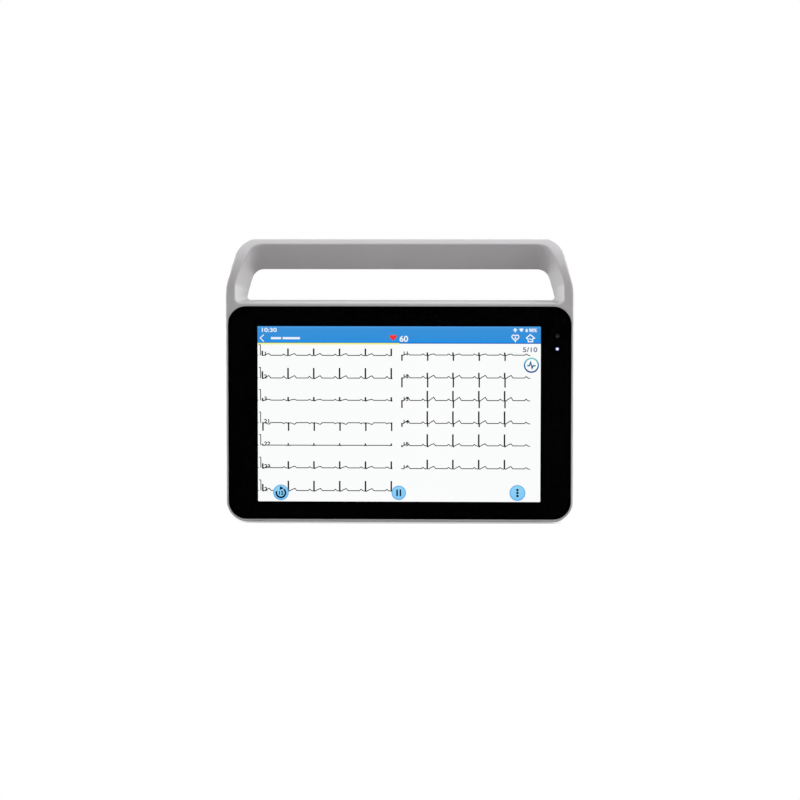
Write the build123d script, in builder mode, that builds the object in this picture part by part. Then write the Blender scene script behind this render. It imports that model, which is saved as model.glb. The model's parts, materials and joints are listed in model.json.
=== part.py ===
from build123d import *
import math
import os

os.makedirs("parts", exist_ok=True)

# Millimetres. X runs across the screen, Y into the unit (the screen faces -Y), Z up.
# Depths are measured back from the front plane; the origin is on the floor, centred.

# ---- driving dimensions ----
body_width = 265.9
body_depth = 52.0
overall_height = 217.5
foot_proud = 1.0
wall = 2.4

front_y = -body_depth / 2
bottom_corner_radius = 16.0
arm_bend_height = 181.5
arm_lean = math.radians(16.2)
crown_corner_radius = 18.0
sweep_radius = 36.0
crown_radius = 12.0
sweep_angle = math.radians(62)
hump_top = 124.0
hump_foot = 162.0
rear_corner_radius = 26.0
front_edge_radius = 1.6
parting_depth = 24.0
seam_width = 0.5
seam_depth = 0.6
lip_height = 2.5
lip_thickness = 1.2
fit_gap = 0.15

crown_height = overall_height - crown_radius
sweep_foot = crown_height - (sweep_radius - crown_radius) * math.sin(sweep_angle)
handle_depth = sweep_radius - (sweep_radius - crown_radius) * math.cos(sweep_angle) + crown_radius

scoop_depth = 37.0
scoop_front = dict(floor=169.4, bend=184.0, roof=229.4, foot=125.8, knee=125.8, top=112.2,
                   low=4.0, high=14.0)
scoop_rear = dict(floor=170.2, bend=178.0, roof=192.0, foot=119.5, knee=117.3, top=113.1,
                  low=2.4, high=9.6)
knee_radius = 12.0
crease_radius = 1.4
rear_opening_radius = 1.2
ledge_rear = 4.5

glass_width = 262.7
glass_height = 163.7
glass_centre = 85.0
glass_corner_radius = 13.7
glass_thickness = 1.8
pocket_gap = 0.15
mask_thickness = 0.2
adhesive_thickness = 0.5
pocket_depth = glass_thickness + mask_thickness + adhesive_thickness

screen_width = 217.0
screen_height = 135.6
screen_centre = 84.1
window_width = 216.8
window_height = 134.8
window_shift = -0.4
module_width = 229.5
module_height = 149.1
module_gap = 0.75
tray_front = 2.6
tray_rear = 6.9
tray_sheet = 0.7
panel_near = 2.2
panel_far = 3.4
bracket_near = 7.0
bracket_far = 8.2

led_at = (120.6, 134.4)
sensor_at = (120.7, 144.5)
window_radius = 1.3

screw_radius = 1.5
screw_clearance = 0.05
head_radius = 2.8
head_height = 1.9
housing_screw_length = 12.0
boss_floor = 2.0
# x, z and the depth of the seat under each housing screw head
screw_stations = [(side * x, z, seat) for side in (-1, 1)
                  for x, z, seat in ((123.0, 13.0, 40.0), (121.0, 160.0, 34.0),
                                     (125.0, 187.0, 33.5))]
bracket_stations = [(side * 121.0, z) for side in (-1, 1) for z in (30.0, 125.0)]
small_screw_radius = 1.25

board_thickness = 1.6
main_board_near = 13.0
main_board_span = ((-40.0, 84.0), (36.0, 128.0))
main_posts = [(x, z) for x in (-35.0, 79.0) for z in (41.0, 123.0)]
ecg_board_near = 24.2
ecg_board_span = ((-117.0, -57.0), (66.0, 134.0))
ecg_posts = [(x, z) for x in (-105.0, -62.0) for z in (71.0, 129.0)]
io_board_near = 20.5
io_board_span = ((92.0, 127.0), (36.0, 100.0))
io_posts = [(x, z) for x in (97.0, 109.0) for z in (41.0, 95.0)]
spacer_radius = 2.75

port_door_span = (38.0, 96.0)
port_door_front = 7.6
port_door_thickness = 2.0
port_hinge_x = 131.85
port_hinge_depth = 21.4
port_pin_radius = 0.5
port_floor = 130.7
door_gap = 0.4
usb_centres = (60.0, 82.0)
usb_depth = 17.5
usb_size = (13.2, 5.8)
jack_centre = 46.0
jack_depth = 14.5
jack_size = 9.0
socket_face = 130.4

button_centre = 112.0
button_depth = 14.0
button_size = (14.0, 7.0)
button_face = 132.75
button_gap = 0.1
button_travel = 0.8
switch_board_x = (121.0, 122.6)
switch_posts = (101.3, 122.3)

ecg_port_centre = 100.0
ecg_port_depth = 16.0
ecg_pocket = (44.0, 17.0)
ecg_pocket_floor = -127.9
ecg_wall_inside = -125.9
jack_post_pitch = 33.32
jack_hole_radius = 1.4
jack_stud_radius = 1.6

stand_half_width = 75.0
stand_leg = 14.0
stand_foot = 18.0
stand_bar_top = 32.0
stand_near = 45.0
stand_gap = 0.4
stand_axis_depth = 48.5
stand_axis_height = 113.0
stand_pin_radius = 1.5
stand_corner_radius = 9.0
pad_size = (24.0, 4.0)
pad_proud = 0.6

battery_half_width = 49.6
battery_span = (40.6, 103.6)
battery_depth = (27.5, 47.8)
bay_gap = 0.6
cover_half_width = 56.0
cover_span = (36.0, 108.0)
cover_near = 49.8
cover_gap = 0.2
cover_screws_at = [(-40.0, 37.9), (40.0, 37.9)]

speaker_at = (-91.8, 60.0)
speaker_radius = 12.0
speaker_near = 44.6
speaker_far = 49.3

foot_size = (26.0, 9.0)
foot_set = 0.8
front_feet_depth = 14.5
rear_feet_depth = 39.0
feet_x = 100.0


# ---- shared helpers ----
def at(depth):
    return front_y + depth


def facing(depth):
    return Plane.XZ.offset(-at(depth))


def plate(size, radius, centre, near, far, mode=Mode.ADD):
    with BuildSketch(facing(near)) as outline:
        with Locations(centre):
            RectangleRounded(size[0], size[1], radius)
    extrude(outline.sketch, amount=near - far, mode=mode)


def block(across, depth, up, mode=Mode.ADD):
    middle = ((across[0] + across[1]) / 2, at((depth[0] + depth[1]) / 2), (up[0] + up[1]) / 2)
    with Locations(middle):
        Box(across[1] - across[0], depth[1] - depth[0], up[1] - up[0], mode=mode)


def peg(x, z, radius, near, far, mode=Mode.ADD):
    with Locations((x, at(near), z)):
        Cylinder(radius, far - near, rotation=(-90, 0, 0),
                 align=(Align.CENTER, Align.CENTER, Align.MIN), mode=mode)


def side_peg(depth, z, radius, start, end, mode=Mode.ADD):
    with Locations(((start + end) / 2, at(depth), z)):
        Cylinder(radius, abs(end - start), rotation=(0, 90, 0), mode=mode)


def finish(builder, name):
    builder.part.label = name
    export_step(builder.part, f"parts/{name}.step")


# ---- outer form, built as the overlap of its front, side and plan outlines ----
def front_outline(inset):
    half = body_width / 2
    top = overall_height + 0.6
    shoulder = half - (top - arm_bend_height) * math.tan(arm_lean)
    with BuildSketch(facing(-5)) as outline:
        with BuildLine():
            Polyline((-half, foot_proud), (half, foot_proud), (half, arm_bend_height),
                     (shoulder, top), (-shoulder, top), (-half, arm_bend_height), close=True)
        make_face()
        fillet(outline.vertices().group_by(Axis.Y)[-1], crown_corner_radius)
        fillet(outline.vertices().group_by(Axis.Y)[0], bottom_corner_radius)
        fillet([v for v in outline.vertices() if abs(v.Y - arm_bend_height) < 0.01], 35)
        if inset:
            offset(amount=-inset, mode=Mode.REPLACE)
    return outline.sketch


def side_outline(inset):
    low = foot_proud - 0.1
    rear = at(body_depth)
    crown_y = at(handle_depth - crown_radius)
    middle = math.radians(90) - sweep_angle / 2
    joint = (at(sweep_radius * (1 - math.cos(sweep_angle))),
             sweep_foot + sweep_radius * math.sin(sweep_angle))
    sweep_middle = (at(sweep_radius * (1 - math.cos(sweep_angle / 2))),
                    sweep_foot + sweep_radius * math.sin(sweep_angle / 2))
    with BuildSketch(Plane.YZ.offset(-body_width / 2 - 5)) as outline:
        with BuildLine():
            Polyline((front_y, sweep_foot), (front_y, low), (rear, low), (rear, hump_top),
                     (at(handle_depth), hump_foot), (at(handle_depth), crown_height))
            ThreePointArc((at(handle_depth), crown_height),
                          (crown_y + crown_radius * math.cos(middle),
                           crown_height + crown_radius * math.sin(middle)), joint)
            ThreePointArc(joint, sweep_middle, (front_y, sweep_foot))
        make_face()
        fillet([v for v in outline.vertices() if abs(v.Y - hump_top) < 0.01], 30)
        fillet([v for v in outline.vertices() if abs(v.Y - hump_foot) < 0.01], 25)
        fillet([v for v in outline.vertices() if abs(v.Y - low) < 0.01 and v.X > 0], 7)
        if inset:
            offset(amount=-inset, mode=Mode.REPLACE)
    return outline.sketch


def plan_outline(inset):
    half = body_width / 2
    rear = at(body_depth) + 0.05
    with BuildSketch(Plane.XY.offset(-5)) as outline:
        with BuildLine():
            Polyline((-half, front_y - 5), (half, front_y - 5), (half, rear), (-half, rear),
                     close=True)
        make_face()
        fillet(outline.vertices().group_by(Axis.Y)[-1], rear_corner_radius)
        if inset:
            offset(amount=-inset, mode=Mode.REPLACE)
    return outline.sketch


def envelope(inset=0.0):
    with BuildPart() as form:
        extrude(front_outline(inset), amount=-body_depth - 14)
        extrude(side_outline(inset), amount=body_width + 10, mode=Mode.INTERSECT)
        extrude(plan_outline(inset), amount=overall_height + 10, mode=Mode.INTERSECT)
    return form.part


# ---- the handle scoop, narrowing from the front to the rear opening ----
def scoop_section(depth, grow):
    share = depth / scoop_depth
    now = {key: scoop_front[key] + (scoop_rear[key] - scoop_front[key]) * share
           for key in scoop_front}
    with BuildSketch(facing(depth)) as section:
        with BuildLine():
            Polyline((-now["foot"], now["floor"]), (now["foot"], now["floor"]),
                     (now["knee"], now["bend"]), (now["top"], now["roof"]),
                     (-now["top"], now["roof"]), (-now["knee"], now["bend"]), close=True)
        make_face()
        fillet(section.vertices().group_by(Axis.Y)[-1], now["high"])
        fillet(section.vertices().group_by(Axis.Y)[0], now["low"])
        fillet([v for v in section.vertices() if abs(v.Y - now["bend"]) < 0.01], knee_radius)
        if grow:
            offset(amount=grow, mode=Mode.REPLACE)
    return section.sketch


def scoop(grow=0.0):
    with BuildPart() as cutter:
        loft([scoop_section(-3, grow), scoop_section(scoop_depth + 4, grow)], ruled=True)
    return cutter.part


def on_crease(edge):
    middle = edge.position_at(0.5)
    reach = scoop_front["foot"] + 1 - 0.3 * max(0, middle.Z - scoop_front["bend"])
    return middle.Y < at(17) and abs(middle.X) < reach and 168 < middle.Z < 216


def on_front_rim(edge):
    middle = edge.position_at(0.5)
    return abs(middle.Y - front_y) < 0.01 and (middle.Z < 167 or abs(middle.X) > 129)


def on_rear_opening(edge):
    middle = edge.position_at(0.5)
    return middle.Y > at(34) and abs(middle.X) < 121 and 169 < middle.Z < 196


with BuildPart() as body_form:
    add(envelope())
    add(scoop(), mode=Mode.SUBTRACT)
    fillet([e for e in body_form.edges() if on_crease(e)], crease_radius)
    fillet([e for e in body_form.edges() if on_front_rim(e)], front_edge_radius)
    fillet([e for e in body_form.edges() if on_rear_opening(e)], rear_opening_radius)

inner_form = envelope(wall)
inner_scoop = scoop(wall)

with BuildPart() as cavity:
    add(inner_form)
    block((-200, 200), (-1, ledge_rear), (-10, 250), mode=Mode.SUBTRACT)
    add(inner_scoop, mode=Mode.SUBTRACT)

with BuildPart() as collar:
    add(envelope(wall + fit_gap))
    add(inner_scoop, mode=Mode.INTERSECT)


def foot_pockets(depth):
    for x in (-feet_x, feet_x):
        with BuildSketch(Plane.XY.offset(foot_proud + foot_set + 0.05)) as pocket:
            with Locations((x, at(depth))):
                SlotOverall(foot_size[0] + 0.3, foot_size[1] + 0.3)
        extrude(pocket.sketch, amount=-foot_set - 2, mode=Mode.SUBTRACT)


def side_slot(depth, z, length, width, start, end, mode=Mode.ADD):
    with BuildSketch(Plane.YZ.offset(start)) as slot:
        with Locations((at(depth), z)):
            SlotOverall(length, width, rotation=90)
    extrude(slot.sketch, amount=end - start, mode=mode)


def connector_profile(x, grow):
    tall = 12.4 + grow
    short = 11.0 + grow
    half = 4.0 + grow
    centre = at(ecg_port_depth)
    with BuildSketch(Plane.YZ.offset(x)) as profile:
        with BuildLine():
            Polyline((centre - half, ecg_port_centre - tall),
                     (centre + half, ecg_port_centre - short),
                     (centre + half, ecg_port_centre + short),
                     (centre - half, ecg_port_centre + tall), close=True)
        make_face()
        fillet(profile.vertices(), 2.2)
    return profile.sketch


# ---- front housing: face frame, scoop and side walls ----
with BuildPart() as front_housing:
    add(body_form.part)
    block((-200, 200), (parting_depth, 90), (-10, 250), mode=Mode.SUBTRACT)
    add(collar.part)
    add(cavity.part, mode=Mode.SUBTRACT)
    for x, z, seat in screw_stations:
        peg(x, z, 3.7, 15.0 if z > 180 else ledge_rear - 0.8, seat - boss_floor - 0.05)
    add(scoop(), mode=Mode.SUBTRACT)
    for x, z, seat in screw_stations:
        peg(x, z, screw_radius + screw_clearance, seat - housing_screw_length - 1,
            seat - boss_floor, mode=Mode.SUBTRACT)
    for x, z in bracket_stations:
        peg(x, z, 3.0, ledge_rear - 0.5, bracket_near)
        peg(x, z, small_screw_radius + screw_clearance, 3.4, bracket_near, mode=Mode.SUBTRACT)
    for x in (led_at[0] - 3.0, led_at[0] + 4.0):
        peg(x, 139.5, 1.6, ledge_rear - 0.5, 9.0)
        peg(x, 139.5, 0.85, 5.5, 9.0, mode=Mode.SUBTRACT)
    for z in switch_posts:
        side_peg(button_depth, z, 2.0, switch_board_x[1] + 0.05, 131.0)
        side_peg(button_depth, z, 1.05, switch_board_x[1], 128.5, mode=Mode.SUBTRACT)
    block((127.6, 131.5), (ledge_rear - 0.5, parting_depth), (33.0, 101.0))
    block((port_floor, 140), (port_door_front - 0.3, port_hinge_depth + 1.4),
          (port_door_span[0] - door_gap, port_door_span[1] + door_gap), mode=Mode.SUBTRACT)
    with Locations((port_hinge_x, at(port_hinge_depth), sum(port_door_span) / 2)):
        Cylinder(port_pin_radius + 0.02, port_door_span[1] - port_door_span[0] + 6.4,
                 mode=Mode.SUBTRACT)
    with Locations((133.9, at(port_door_front - 0.6), sum(port_door_span) / 2)):
        Sphere(5.0, mode=Mode.SUBTRACT)
    for z in usb_centres:
        block((126, 135), (usb_depth - usb_size[1] / 2 - 0.3, usb_depth + usb_size[1] / 2 + 0.3),
              (z - usb_size[0] / 2 - 0.3, z + usb_size[0] / 2 + 0.3), mode=Mode.SUBTRACT)
    block((126, 135), (jack_depth - jack_size / 2 - 0.3, jack_depth + jack_size / 2 + 1.8),
          (jack_centre - jack_size / 2 - 0.3, jack_centre + jack_size / 2 + 0.3),
          mode=Mode.SUBTRACT)
    side_slot(button_depth, button_centre, 22.0, 12.0, 132.3, 135, mode=Mode.SUBTRACT)
    side_slot(button_depth, button_centre, button_size[0] + 2 * button_gap,
              button_size[1] + 2 * button_gap, 129, 135, mode=Mode.SUBTRACT)
    pocket_depths = (ecg_port_depth - ecg_pocket[1] / 2, ecg_port_depth + ecg_pocket[1] / 2)
    pocket_span = (ecg_port_centre - ecg_pocket[0] / 2, ecg_port_centre + ecg_pocket[0] / 2)
    block((-131.5, ecg_wall_inside), (ledge_rear - 0.5, parting_depth),
          (pocket_span[0] - 2.2, pocket_span[1] + 2.2))
    with BuildSketch(Plane.YZ.offset(ecg_pocket_floor)) as port_pocket:
        with Locations((at(ecg_port_depth), ecg_port_centre)):
            RectangleRounded(ecg_pocket[1] - 3, ecg_pocket[0], 2.5)
    extrude(port_pocket.sketch, amount=-8, mode=Mode.SUBTRACT)
    extrude(connector_profile(ecg_wall_inside + 1, 0.5), amount=-4, mode=Mode.SUBTRACT)
    for side in (-1, 1):
        side_peg(ecg_port_depth, ecg_port_centre + side * jack_post_pitch / 2,
                 jack_stud_radius + screw_clearance, ecg_pocket_floor - 1, ecg_wall_inside + 1,
                 mode=Mode.SUBTRACT)
    plate((glass_width + 2 * pocket_gap, glass_height + 2 * pocket_gap),
          glass_corner_radius + pocket_gap, (0, glass_centre), -1, pocket_depth,
          mode=Mode.SUBTRACT)
    plate((module_width + 2 * module_gap, module_height + 2 * module_gap), 2.0,
          (0, screen_centre), 1, ledge_rear + 1, mode=Mode.SUBTRACT)
    for x, z in (led_at, sensor_at):
        peg(x, z, window_radius, 1, ledge_rear + 1, mode=Mode.SUBTRACT)
    foot_pockets(front_feet_depth)
finish(front_housing, "front_housing")


# ---- rear housing: back cover, battery bay, stand recess, grilles ----
with BuildPart() as rear_bosses:
    for x, z, seat in screw_stations:
        peg(x, z, 4.2, seat - boss_floor, body_depth)
    plate((2 * stand_half_width + 5.6, 104.8), 11.0, (0, 67.0), 42.2, body_depth)
    plate((2 * (stand_half_width - stand_leg) - 5.6, 130.0), 4.0, (0, 99.8), 40, 60,
          mode=Mode.SUBTRACT)
    for side in (-1, 1):
        block(sorted((side * (stand_half_width - 1), side * 84.0)), (43.6, body_depth),
              (108.0, 118.4))
    block((-60.0, 60.0), (47.0, body_depth), (33.5, 110.5))
    block((-battery_half_width - 2.6, battery_half_width + 2.6), (25.0, body_depth),
          (battery_span[0] - 2.8, battery_span[1] + 2.6))
    for x, z in cover_screws_at:
        peg(x, z, 2.8, 41.0, body_depth)
    block((-15.5, 15.5), (43.8, body_depth), (6.5, 19.0))
    peg(*speaker_at, speaker_radius + 1.8, 43.0, body_depth)
    peg(*speaker_at, speaker_radius + 0.2, 42.0, speaker_far + 0.3, mode=Mode.SUBTRACT)
    add(envelope(1.0), mode=Mode.INTERSECT)

with BuildPart() as seam_groove:
    add(envelope())
    block((-200, 200), (-1, parting_depth), (-10, 250), mode=Mode.SUBTRACT)
    block((-200, 200), (parting_depth + seam_width, 90), (-10, 250), mode=Mode.SUBTRACT)
    add(envelope(seam_depth), mode=Mode.SUBTRACT)

with BuildPart() as lip:
    add(envelope(wall + fit_gap))
    block((-200, 200), (-1, parting_depth - lip_height), (-10, 250), mode=Mode.SUBTRACT)
    block((-200, 200), (parting_depth, 90), (-10, 250), mode=Mode.SUBTRACT)
with BuildPart() as lip_root:
    add(envelope(wall - 0.1))
    block((-200, 200), (-1, parting_depth), (-10, 250), mode=Mode.SUBTRACT)
    block((-200, 200), (parting_depth + lip_height, 90), (-10, 250), mode=Mode.SUBTRACT)
    add(lip.part)
    add(envelope(wall + fit_gap + lip_thickness), mode=Mode.SUBTRACT)
    add(scoop(wall + fit_gap), mode=Mode.SUBTRACT)
    block((-140, 140), (20, 30), (-1, 20), mode=Mode.SUBTRACT)
    block((-140, -112), (20, 30), (40, 140), mode=Mode.SUBTRACT)
    block((112, 140), (20, 30), (30, 125), mode=Mode.SUBTRACT)
    block((-140, 140), (20, 30), (150, 164), mode=Mode.SUBTRACT)
    block((-140, 140), (20, 30), (180, 195), mode=Mode.SUBTRACT)


def grille_holes():
    yield 0.0, 0.0
    for count, radius in ((6, 3.0), (12, 6.0), (18, 9.0)):
        for index in range(count):
            angle = 2 * math.pi * index / count
            yield radius * math.cos(angle), radius * math.sin(angle)


with BuildPart() as rear_housing:
    add(body_form.part)
    block((-200, 200), (-1, parting_depth), (-10, 250), mode=Mode.SUBTRACT)
    add(inner_form, mode=Mode.SUBTRACT)
    add(rear_bosses.part)
    add(lip_root.part)
    add(seam_groove.part, mode=Mode.SUBTRACT)
    for x, z, seat in screw_stations:
        peg(x, z, screw_radius + screw_clearance, seat - boss_floor - 1, seat + 1,
            mode=Mode.SUBTRACT)
        peg(x, z, head_radius + 0.3, seat, 60, mode=Mode.SUBTRACT)
    recess_half = stand_half_width + stand_gap
    recess_foot = stand_foot - pad_proud - stand_gap
    recess_head = stand_axis_height + 4.0
    with BuildSketch(facing(stand_near - stand_gap)) as stand_recess:
        with Locations((0, (recess_foot + recess_head) / 2)):
            Rectangle(2 * recess_half, recess_head - recess_foot)
        fillet(stand_recess.vertices().group_by(Axis.Y)[0], stand_corner_radius + stand_gap)
        fillet(stand_recess.vertices().group_by(Axis.Y)[-1], 1.0)
        with Locations((0, stand_bar_top + stand_gap + 60)):
            RectangleRounded(2 * (stand_half_width - stand_leg - stand_gap), 120, 3.0,
                             mode=Mode.SUBTRACT)
    extrude(stand_recess.sketch, amount=-20, mode=Mode.SUBTRACT)
    for side in (-1, 1):
        side_peg(stand_axis_depth, stand_axis_height, stand_pin_radius + 0.02,
                 side * 60.6, side * 82.0, mode=Mode.SUBTRACT)
        block(sorted((side * 58.0, side * 60.6)), (46.0, 51.0), (110.0, 116.0))
    block((-13.0, 13.0), (46.5, 60), (9.0, stand_foot), mode=Mode.SUBTRACT)
    block((-battery_half_width - bay_gap, battery_half_width + bay_gap), (27.0, 60),
          (battery_span[0] - bay_gap, battery_span[1] + bay_gap), mode=Mode.SUBTRACT)
    plate((2 * (cover_half_width + cover_gap), cover_span[1] - cover_span[0] + 2 * cover_gap),
          4.2, (0, sum(cover_span) / 2), cover_near, 60, mode=Mode.SUBTRACT)
    for x in (-30.0, 30.0):
        block((x - 4.0, x + 4.0), (48.6, 50.2), (103.0, 110.2), mode=Mode.SUBTRACT)
    for x, z in cover_screws_at:
        peg(x, z, small_screw_radius + screw_clearance, 42.5, 60, mode=Mode.SUBTRACT)
    block((-12.3, 12.3), (20, 30), (59.7, 68.3), mode=Mode.SUBTRACT)
    for across, up in grille_holes():
        peg(speaker_at[0] + across, speaker_at[1] + up, 0.8, 48, 60, mode=Mode.SUBTRACT)
    for index in range(8):
        with BuildSketch(facing(48)) as vent:
            with Locations((92.0, 34.0 + 5.0 * index)):
                SlotOverall(20.0, 2.2)
        extrude(vent.sketch, amount=-12, mode=Mode.SUBTRACT)
    foot_pockets(rear_feet_depth)
finish(rear_housing, "rear_housing")


# ---- front glass stack ----
with BuildPart() as cover_glass:
    plate((glass_width, glass_height), glass_corner_radius, (0, glass_centre), 0, glass_thickness)
    chamfer([e for e in cover_glass.edges() if e.position_at(0.5).Y < at(0.01)], 0.25)
finish(cover_glass, "cover_glass")

mask_rear = glass_thickness + mask_thickness
with BuildPart() as glass_mask:
    plate((glass_width - 0.2, glass_height - 0.2), glass_corner_radius - 0.1, (0, glass_centre),
          glass_thickness, mask_rear)
    plate((window_width, window_height), 0.4, (window_shift, screen_centre), glass_thickness - 1,
          mask_rear + 1, mode=Mode.SUBTRACT)
    for x, z in (led_at, sensor_at):
        peg(x, z, window_radius, glass_thickness - 1, mask_rear + 1, mode=Mode.SUBTRACT)
finish(glass_mask, "glass_mask")

with BuildPart() as glass_adhesive:
    plate((glass_width - 1.2, glass_height - 1.2), glass_corner_radius - 0.6, (0, glass_centre),
          mask_rear, pocket_depth)
    plate((module_width + 3, module_height + 3), 2.5, (0, screen_centre), 1, 4,
          mode=Mode.SUBTRACT)
    for x, z in (led_at, sensor_at):
        peg(x, z, window_radius + 0.4, 1, 4, mode=Mode.SUBTRACT)
finish(glass_adhesive, "glass_adhesive")


# ---- display module and its bracket ----
inner_width = module_width - 2 * tray_sheet
inner_height = module_height - 2 * tray_sheet
with BuildPart() as lcd_tray:
    plate((module_width, module_height), 1.5, (0, screen_centre), tray_front, tray_rear)
    plate((inner_width, inner_height), 0.8, (0, screen_centre), 1, tray_rear - tray_sheet,
          mode=Mode.SUBTRACT)
finish(lcd_tray, "lcd_tray")

with BuildPart() as lcd_panel:
    plate((inner_width - 0.3, inner_height - 0.3), 0.6, (0, screen_centre), panel_near, panel_far)
finish(lcd_panel, "lcd_panel")

with BuildPart() as light_guide:
    plate((inner_width - 0.6, inner_height - 0.6), 0.6, (0, screen_centre), panel_far + 0.05,
          tray_rear - tray_sheet)
finish(light_guide, "light_guide")

with BuildPart() as display_bracket:
    plate((226.0, 140.0), 3.0, (0, screen_centre), bracket_near, bracket_far)
    for x, z in bracket_stations:
        plate((16.0, 11.0), 3.0, (x - math.copysign(3.5, x), z), bracket_near, bracket_far)
    for z in (screen_centre - 68.8, screen_centre + 67.6):
        block((-100, 100), (bracket_far - 0.1, bracket_far + 2.8), (z, z + 1.2))
    plate((30.0, 66.0), 4.0, (-30.0, screen_centre), 5, 10, mode=Mode.SUBTRACT)
    plate((60.0, 66.0), 4.0, (62.0, screen_centre), 5, 10, mode=Mode.SUBTRACT)
    for x, z in bracket_stations:
        peg(x, z, small_screw_radius + screw_clearance, 5, 10, mode=Mode.SUBTRACT)
finish(display_bracket, "display_bracket")


# ---- screws: one node per kind, each screw its own solid ----
def screw(x, z, seat, length, shank, head, height):
    peg(x, z, shank, seat - length, seat)
    peg(x, z, head, seat, seat + height)
    with BuildSketch(facing(seat + height - 0.55 * height)) as drive:
        with Locations((x, z)):
            RegularPolygon(head * 0.45, 6)
    extrude(drive.sketch, amount=-height, mode=Mode.SUBTRACT)


with BuildPart() as housing_screws:
    for x, z, seat in screw_stations:
        screw(x, z, seat, housing_screw_length, screw_radius, head_radius, head_height)
finish(housing_screws, "housing_screws")

with BuildPart() as bracket_screws:
    for x, z in bracket_stations:
        screw(x, z, bracket_far, 4.4, small_screw_radius, 2.2, 1.5)
finish(bracket_screws, "bracket_screws")


# ---- boards on hex spacers from the bracket ----
def spacers(posts, far):
    for x, z in posts:
        with BuildSketch(facing(bracket_far)) as hexagon:
            with Locations((x, z)):
                RegularPolygon(spacer_radius, 6, major_radius=False)
        extrude(hexagon.sketch, amount=bracket_far - far)
        peg(x, z, small_screw_radius + screw_clearance, far - 4, far, mode=Mode.SUBTRACT)


def board(span, near, posts):
    across, up = span
    plate((across[1] - across[0], up[1] - up[0]), 2.0, (sum(across) / 2, sum(up) / 2), near,
          near + board_thickness)
    for x, z in posts:
        peg(x, z, small_screw_radius + screw_clearance, near - 1, near + board_thickness + 1,
            mode=Mode.SUBTRACT)


def board_fasteners(posts, near):
    for x, z in posts:
        screw(x, z, near + board_thickness, 5.0, small_screw_radius, 2.2, 1.4)


with BuildPart() as board_spacers:
    spacers(main_posts, main_board_near)
finish(board_spacers, "board_spacers")

with BuildPart() as main_board:
    board(main_board_span, main_board_near, main_posts)
finish(main_board, "main_board")

with BuildPart() as board_screws:
    board_fasteners(main_posts, main_board_near)
    board_fasteners(ecg_posts, ecg_board_near)
    board_fasteners(io_posts, io_board_near)
finish(board_screws, "board_screws")

main_face = main_board_near + board_thickness
with BuildPart() as board_chips:
    for across, up, tall in (((20, 34), (95, 109), 1.5), ((42, 54), (94, 108), 1.1),
                             ((0, 10), (50, 58), 1.2), ((50, 58), (48, 56), 1.2)):
        block(across, (main_face, main_face + tall), up)
finish(board_chips, "board_chips")

with BuildPart() as heat_sink:
    block((19, 35), (main_face + 1.5, main_face + 2.7), (94, 110))
    for index in range(6):
        block((19.0 + 3.0 * index, 20.0 + 3.0 * index), (main_face + 2.6, main_face + 6.5),
              (94, 110))
finish(heat_sink, "heat_sink")

with BuildPart() as shield_can:
    block((-30, -2), (main_face, main_face + 3.0), (84, 114))
    block((-29.7, -2.3), (main_face - 1, main_face + 2.7), (84.3, 113.7), mode=Mode.SUBTRACT)
finish(shield_can, "shield_can")

with BuildPart() as board_sockets:
    for across, up in (((-38, -30), (52, 60)), ((27, 35), (62, 70)), ((-36, -24), (66, 72)),
                       ((66, 80), (60, 66))):
        block(across, (main_face, main_face + 3.0), up)
        block((across[0] + 1, across[1] - 1), (main_face + 1.0, main_face + 4.0),
              (up[0] + 1, up[1] - 1), mode=Mode.SUBTRACT)
finish(board_sockets, "board_sockets")

with BuildPart() as coin_holder:
    peg(66, 84, 11.6, main_face, main_face + 2.6)
    peg(66, 84, 10.2, main_face + 0.6, main_face + 5, mode=Mode.SUBTRACT)
finish(coin_holder, "coin_holder")

with BuildPart() as coin_cell:
    peg(66, 84, 10.0, main_face + 0.6, main_face + 3.8)
    fillet(coin_cell.edges().group_by(Axis.Y)[-1], 0.5)
finish(coin_cell, "coin_cell")

with BuildPart() as capacitors:
    for x in (-22.0, -14.0, -6.0):
        peg(x, 46.0, 3.1, main_face, main_face + 6.0)
finish(capacitors, "capacitors")

with BuildPart() as lcd_ribbon:
    block((-37, -23), (tray_rear, tray_rear + 0.25), (98, 108))
    block((-37, -23), (tray_rear, main_board_near), (97.75, 98))
    block((-37, -23), (main_board_near - 0.25, main_board_near), (88, 98))
finish(lcd_ribbon, "lcd_ribbon")


# ---- ecg input board and its recessed 15-way socket ----
with BuildPart() as ecg_spacers:
    spacers(ecg_posts, ecg_board_near)
finish(ecg_spacers, "ecg_spacers")

with BuildPart() as ecg_board:
    board(ecg_board_span, ecg_board_near, ecg_posts)
finish(ecg_board, "ecg_board")

ecg_face = ecg_board_near + board_thickness
with BuildPart() as ecg_shield:
    block((-100, -66), (ecg_face, ecg_face + 4.0), (78, 122))
    block((-99.7, -66.3), (ecg_face - 1, ecg_face + 3.7), (78.3, 121.7), mode=Mode.SUBTRACT)
    for row in range(4):
        for column in range(3):
            peg(-92.0 + 9.0 * column, 85.0 + 10.0 * row, 0.8, ecg_face, ecg_face + 9,
                mode=Mode.SUBTRACT)
finish(ecg_shield, "ecg_shield")

flange_near = ecg_wall_inside + 0.05
nose_tip = -131.4
post_heights = [ecg_port_centre + side * jack_post_pitch / 2 for side in (-1, 1)]
with BuildPart() as ecg_socket_shell:
    with BuildSketch(Plane.YZ.offset(flange_near)) as flange:
        with Locations((at(ecg_port_depth), ecg_port_centre)):
            RectangleRounded(12.4, 39.2, 1.5)
    extrude(flange.sketch, amount=0.8)
    extrude(connector_profile(flange_near + 0.4, 0.0), amount=nose_tip - flange_near - 0.4)
    extrude(connector_profile(flange_near + 2, -0.45), amount=-12, mode=Mode.SUBTRACT)
    for z in post_heights:
        side_peg(ecg_port_depth, z, jack_stud_radius + screw_clearance, flange_near - 1,
                 flange_near + 2, mode=Mode.SUBTRACT)
finish(ecg_socket_shell, "ecg_socket_shell")

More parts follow.
